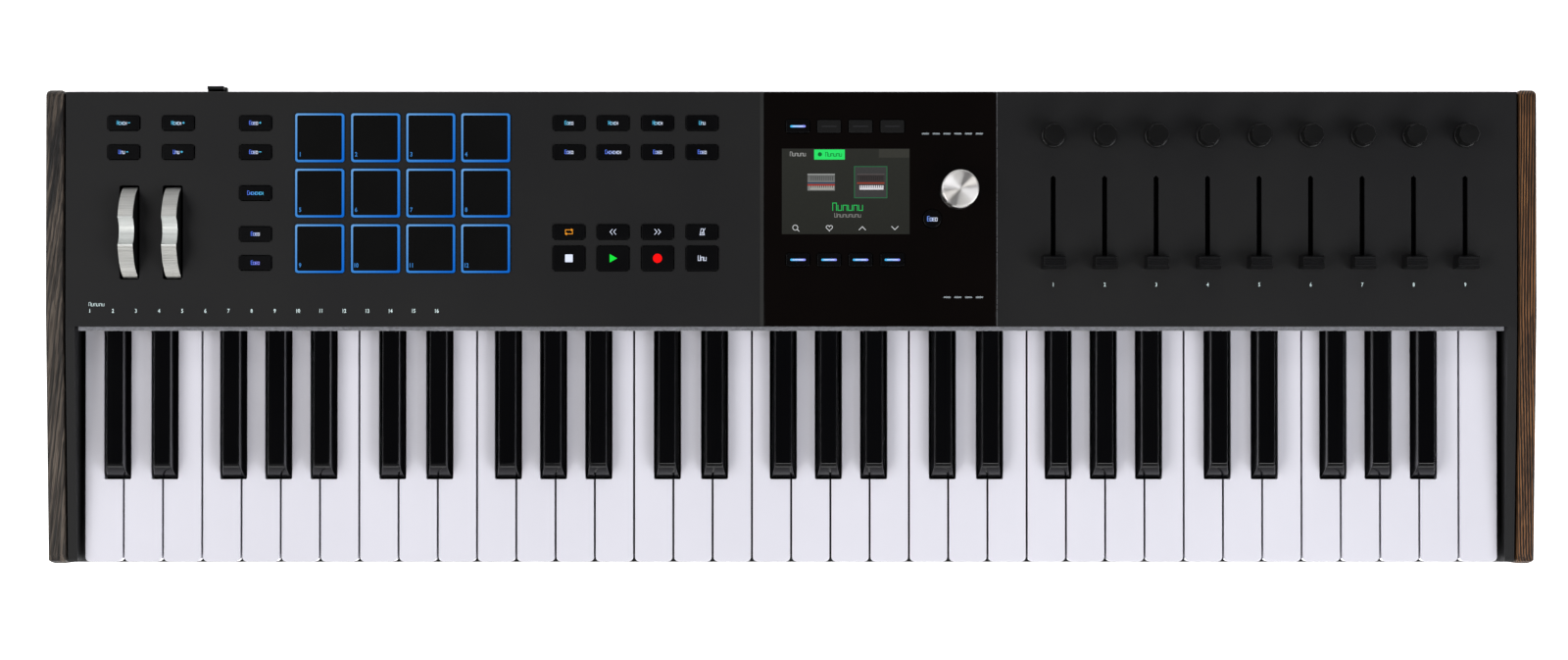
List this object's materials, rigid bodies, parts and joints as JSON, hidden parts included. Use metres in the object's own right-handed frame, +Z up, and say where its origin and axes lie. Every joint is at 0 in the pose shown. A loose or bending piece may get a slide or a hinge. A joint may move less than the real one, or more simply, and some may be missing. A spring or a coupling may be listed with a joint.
{
  "type": "synthesizer keyboard",
  "caption": "Full-size keyboard controller with wooden end cheeks, drum pads, push buttons, knobs, faders, two wheels and a glass display area.",
  "frame": {"origin": "centre of the object's bounding box, on the surface that it stands on", "axes": "+X towards the player's right along the keys, +Y from the player towards the rear, +Z up"},
  "size_m": [0.8854, 0.2854, 0.072],
  "materials": {
    "charcoal_plastic": "fine matt texture, dark charcoal grey",
    "button": "black, soft satin",
    "wood": "open-grained brown wood, thin matt oil finish",
    "white_key": "glossy white, faintly cool",
    "black_key": "glossy black",
    "metal": "satin, finely turned",
    "pressed_steel": "plain zinc-plated",
    "felt": "light grey felt",
    "display_glass": "black glass, polished",
    "screen": "dark display picture behind glass",
    "rubber": "matt black silicone",
    "board": "green solder mask"
  },
  "bodies": {
    "root": {"bottom_case": "charcoal_plastic", "top_panel": "charcoal_plastic", "display_glass": "display_glass", "cheek_left": "wood", "cheek_right": "wood", "foot_front_left": "rubber", "foot_front_right": "rubber", "foot_rear_left": "rubber", "foot_rear_right": "rubber", "key_chassis": "pressed_steel", "felt_strip": "felt", "display_module": "screen", "main_board": "board", "socket_block": "button", "fader_board": "board", "wheel_bracket": "pressed_steel"},
    "white_keys_ceg_b_octave_1": {"white_keys_ceg_b_octave_1": "white_key"},
    "white_keys_dfa_octave_1": {"white_keys_dfa_octave_1": "white_key"},
    "black_keys_octave_1": {"black_keys_octave_1": "black_key"},
    "white_keys_ceg_b_octave_2": {"white_keys_ceg_b_octave_2": "white_key"},
    "white_keys_dfa_octave_2": {"white_keys_dfa_octave_2": "white_key"},
    "black_keys_octave_2": {"black_keys_octave_2": "black_key"},
    "white_keys_ceg_b_octave_3": {"white_keys_ceg_b_octave_3": "white_key"},
    "white_keys_dfa_octave_3": {"white_keys_dfa_octave_3": "white_key"},
    "black_keys_octave_3": {"black_keys_octave_3": "black_key"},
    "white_keys_ceg_b_octave_4": {"white_keys_ceg_b_octave_4": "white_key"},
    "white_keys_dfa_octave_4": {"white_keys_dfa_octave_4": "white_key"},
    "black_keys_octave_4": {"black_keys_octave_4": "black_key"},
    "white_keys_ceg_b_octave_5": {"white_keys_ceg_b_octave_5": "white_key"},
    "white_keys_dfa_octave_5": {"white_keys_dfa_octave_5": "white_key"},
    "black_keys_octave_5": {"black_keys_octave_5": "black_key"},
    "white_key_top_c": {"white_key_top_c": "white_key"},
    "transpose_octave_buttons": {"transpose_octave_buttons": "button"},
    "mode_buttons": {"mode_buttons": "button"},
    "command_buttons": {"command_buttons": "button"},
    "transport_buttons": {"transport_buttons": "button"},
    "display_buttons": {"display_buttons": "button"},
    "drum_pad_mat": {"drum_pad_mat": "rubber"},
    "knob_1": {"knob_1": "button"},
    "knob_2": {"knob_2": "button"},
    "knob_3": {"knob_3": "button"},
    "knob_4": {"knob_4": "button"},
    "knob_5": {"knob_5": "button"},
    "knob_6": {"knob_6": "button"},
    "knob_7": {"knob_7": "button"},
    "knob_8": {"knob_8": "button"},
    "knob_9": {"knob_9": "button"},
    "fader_1": {"fader_1": "button"},
    "fader_2": {"fader_2": "button"},
    "fader_3": {"fader_3": "button"},
    "fader_4": {"fader_4": "button"},
    "fader_5": {"fader_5": "button"},
    "fader_6": {"fader_6": "button"},
    "fader_7": {"fader_7": "button"},
    "fader_8": {"fader_8": "button"},
    "fader_9": {"fader_9": "button"},
    "pitch_wheel": {"pitch_wheel": "metal"},
    "modulation_wheel": {"modulation_wheel": "metal"},
    "encoder_shaft": {"encoder_shaft": "metal"},
    "encoder_knob": {"encoder_knob": "metal"}
  },
  "joints": [
    {"name": "pitch_wheel_turn", "type": "hinge", "parent": "root", "child": "pitch_wheel", "pos_m": [-0.3932, 0.05425, 0.0455], "axis": [1, 0, 0], "range_deg": [-35, 35], "stiffness_Nm_per_rad": 0.05},
    {"name": "modulation_wheel_turn", "type": "hinge", "parent": "root", "child": "modulation_wheel", "pos_m": [-0.3675, 0.05425, 0.0455], "axis": [1, 0, 0], "range_deg": [-35, 35]},
    {"name": "encoder_press", "type": "slide", "parent": "root", "child": "encoder_shaft", "axis": [0, 0, -1], "range_m": [0, 0.0006], "stiffness_N_per_m": 4000, "springref_m": -0.0006},
    {"name": "encoder_turn", "type": "hinge", "parent": "encoder_shaft", "child": "encoder_knob", "pos_m": [0.1001, 0.07965, 0.056], "axis": [0, 0, 1], "continuous": true},
    {"name": "drum_pad_mat_press", "type": "slide", "parent": "root", "child": "drum_pad_mat", "axis": [0, 0, -1], "range_m": [0, 0.0008], "stiffness_N_per_m": 12000, "springref_m": -0.0006},
    {"name": "transpose_octave_buttons_press", "type": "slide", "parent": "root", "child": "transpose_octave_buttons", "axis": [0, 0, -1], "range_m": [0, 0.0008], "stiffness_N_per_m": 3000, "springref_m": -0.0006},
    {"name": "mode_buttons_press", "type": "slide", "parent": "root", "child": "mode_buttons", "axis": [0, 0, -1], "range_m": [0, 0.0008], "stiffness_N_per_m": 3000, "springref_m": -0.0006},
    {"name": "command_buttons_press", "type": "slide", "parent": "root", "child": "command_buttons", "axis": [0, 0, -1], "range_m": [0, 0.0008], "stiffness_N_per_m": 4000, "springref_m": -0.0006},
    {"name": "transport_buttons_press", "type": "slide", "parent": "root", "child": "transport_buttons", "axis": [0, 0, -1], "range_m": [0, 0.0008], "stiffness_N_per_m": 4000, "springref_m": -0.0006},
    {"name": "display_buttons_press", "type": "slide", "parent": "root", "child": "display_buttons", "axis": [0, 0, -1], "range_m": [0, 0.0008], "stiffness_N_per_m": 4000, "springref_m": -0.0006},
    {"name": "white_key_top_c_press", "type": "hinge", "parent": "root", "child": "white_key_top_c", "pos_m": [0.41125, 0.00525, 0.0335], "axis": [1, 0, 0], "range_deg": [0, 3.8], "stiffness_Nm_per_rad": 0.7, "springref_deg": -9.17},
    {"name": "white_keys_ceg_b_octave_1_press", "type": "hinge", "parent": "root", "child": "white_keys_ceg_b_octave_1", "pos_m": [-0.41125, 0.00525, 0.0335], "axis": [1, 0, 0], "range_deg": [0, 3.8], "stiffness_Nm_per_rad": 2.5, "springref_deg": -9.17},
    {"name": "white_keys_dfa_octave_1_press", "type": "hinge", "parent": "root", "child": "white_keys_dfa_octave_1", "pos_m": [-0.38775, 0.01225, 0.0251], "axis": [1, 0, 0], "range_deg": [0, 3.6], "stiffness_Nm_per_rad": 2.5, "springref_deg": -9.17},
    {"name": "black_keys_octave_1_press", "type": "hinge", "parent": "root", "child": "black_keys_octave_1", "pos_m": [-0.403, 0.01925, 0.04395], "axis": [1, 0, 0], "range_deg": [0, 4.6], "stiffness_Nm_per_rad": 2.5, "springref_deg": -9.17},
    {"name": "knob_1_turn", "type": "hinge", "parent": "root", "child": "knob_1", "pos_m": [0.1557, 0.11155, 0.056], "axis": [0, 0, 1], "range_deg": [-150, 150]},
    {"name": "fader_1_slide", "type": "slide", "parent": "root", "child": "fader_1", "axis": [0, 1, 0], "range_m": [0, 0.045]},
    {"name": "knob_9_turn", "type": "hinge", "parent": "root", "child": "knob_9", "pos_m": [0.4005, 0.11155, 0.056], "axis": [0, 0, 1], "range_deg": [-150, 150]},
    {"name": "fader_9_slide", "type": "slide", "parent": "root", "child": "fader_9", "axis": [0, 1, 0], "range_m": [0, 0.045]},
    {"name": "white_keys_ceg_b_octave_2_press", "type": "hinge", "parent": "root", "child": "white_keys_ceg_b_octave_2", "pos_m": [-0.24675, 0.00525, 0.0335], "axis": [1, 0, 0], "range_deg": [0, 3.8], "stiffness_Nm_per_rad": 2.5, "springref_deg": -9.17},
    {"name": "white_keys_dfa_octave_2_press", "type": "hinge", "parent": "root", "child": "white_keys_dfa_octave_2", "pos_m": [-0.22325, 0.01225, 0.0251], "axis": [1, 0, 0], "range_deg": [0, 3.6], "stiffness_Nm_per_rad": 2.5, "springref_deg": -9.17},
    {"name": "black_keys_octave_2_press", "type": "hinge", "parent": "root", "child": "black_keys_octave_2", "pos_m": [-0.2385, 0.01925, 0.04395], "axis": [1, 0, 0], "range_deg": [0, 4.6], "stiffness_Nm_per_rad": 2.5, "springref_deg": -9.17},
    {"name": "white_keys_ceg_b_octave_3_press", "type": "hinge", "parent": "root", "child": "white_keys_ceg_b_octave_3", "pos_m": [-0.08225, 0.00525, 0.0335], "axis": [1, 0, 0], "range_deg": [0, 3.8], "stiffness_Nm_per_rad": 2.5, "springref_deg": -9.17},
    {"name": "white_keys_dfa_octave_3_press", "type": "hinge", "parent": "root", "child": "white_keys_dfa_octave_3", "pos_m": [-0.05875, 0.01225, 0.0251], "axis": [1, 0, 0], "range_deg": [0, 3.6], "stiffness_Nm_per_rad": 2.5, "springref_deg": -9.17},
    {"name": "black_keys_octave_3_press", "type": "hinge", "parent": "root", "child": "black_keys_octave_3", "pos_m": [-0.074, 0.01925, 0.04395], "axis": [1, 0, 0], "range_deg": [0, 4.6], "stiffness_Nm_per_rad": 2.5, "springref_deg": -9.17},
    {"name": "white_keys_ceg_b_octave_4_press", "type": "hinge", "parent": "root", "child": "white_keys_ceg_b_octave_4", "pos_m": [0.08225, 0.00525, 0.0335], "axis": [1, 0, 0], "range_deg": [0, 3.8], "stiffness_Nm_per_rad": 2.5, "springref_deg": -9.17},
    {"name": "white_keys_dfa_octave_4_press", "type": "hinge", "parent": "root", "child": "white_keys_dfa_octave_4", "pos_m": [0.10575, 0.01225, 0.0251], "axis": [1, 0, 0], "range_deg": [0, 3.6], "stiffness_Nm_per_rad": 2.5, "springref_deg": -9.17},
    {"name": "black_keys_octave_4_press", "type": "hinge", "parent": "root", "child": "black_keys_octave_4", "pos_m": [0.0905, 0.01925, 0.04395], "axis": [1, 0, 0], "range_deg": [0, 4.6], "stiffness_Nm_per_rad": 2.5, "springref_deg": -9.17},
    {"name": "white_keys_ceg_b_octave_5_press", "type": "hinge", "parent": "root", "child": "white_keys_ceg_b_octave_5", "pos_m": [0.24675, 0.00525, 0.0335], "axis": [1, 0, 0], "range_deg": [0, 3.8], "stiffness_Nm_per_rad": 2.5, "springref_deg": -9.17},
    {"name": "white_keys_dfa_octave_5_press", "type": "hinge", "parent": "root", "child": "white_keys_dfa_octave_5", "pos_m": [0.27025, 0.01225, 0.0251], "axis": [1, 0, 0], "range_deg": [0, 3.6], "stiffness_Nm_per_rad": 2.5, "springref_deg": -9.17},
    {"name": "black_keys_octave_5_press", "type": "hinge", "parent": "root", "child": "black_keys_octave_5", "pos_m": [0.255, 0.01925, 0.04395], "axis": [1, 0, 0], "range_deg": [0, 4.6], "stiffness_Nm_per_rad": 2.5, "springref_deg": -9.17},
    {"name": "knob_2_turn", "type": "hinge", "parent": "root", "child": "knob_2", "pos_m": [0.1863, 0.11155, 0.056], "axis": [0, 0, 1], "range_deg": [-150, 150]},
    {"name": "knob_3_turn", "type": "hinge", "parent": "root", "child": "knob_3", "pos_m": [0.2169, 0.11155, 0.056], "axis": [0, 0, 1], "range_deg": [-150, 150]},
    {"name": "knob_4_turn", "type": "hinge", "parent": "root", "child": "knob_4", "pos_m": [0.2475, 0.11155, 0.056], "axis": [0, 0, 1], "range_deg": [-150, 150]},
    {"name": "knob_5_turn", "type": "hinge", "parent": "root", "child": "knob_5", "pos_m": [0.2781, 0.11155, 0.056], "axis": [0, 0, 1], "range_deg": [-150, 150]},
    {"name": "knob_6_turn", "type": "hinge", "parent": "root", "child": "knob_6", "pos_m": [0.3087, 0.11155, 0.056], "axis": [0, 0, 1], "range_deg": [-150, 150]},
    {"name": "knob_7_turn", "type": "hinge", "parent": "root", "child": "knob_7", "pos_m": [0.3393, 0.11155, 0.056], "axis": [0, 0, 1], "range_deg": [-150, 150]},
    {"name": "knob_8_turn", "type": "hinge", "parent": "root", "child": "knob_8", "pos_m": [0.3699, 0.11155, 0.056], "axis": [0, 0, 1], "range_deg": [-150, 150]},
    {"name": "fader_2_slide", "type": "slide", "parent": "root", "child": "fader_2", "axis": [0, 1, 0], "range_m": [0, 0.045]},
    {"name": "fader_3_slide", "type": "slide", "parent": "root", "child": "fader_3", "axis": [0, 1, 0], "range_m": [0, 0.045]},
    {"name": "fader_4_slide", "type": "slide", "parent": "root", "child": "fader_4", "axis": [0, 1, 0], "range_m": [0, 0.045]},
    {"name": "fader_5_slide", "type": "slide", "parent": "root", "child": "fader_5", "axis": [0, 1, 0], "range_m": [0, 0.045]},
    {"name": "fader_6_slide", "type": "slide", "parent": "root", "child": "fader_6", "axis": [0, 1, 0], "range_m": [0, 0.045]},
    {"name": "fader_7_slide", "type": "slide", "parent": "root", "child": "fader_7", "axis": [0, 1, 0], "range_m": [0, 0.045]},
    {"name": "fader_8_slide", "type": "slide", "parent": "root", "child": "fader_8", "axis": [0, 1, 0], "range_m": [0, 0.045]}
  ]
}
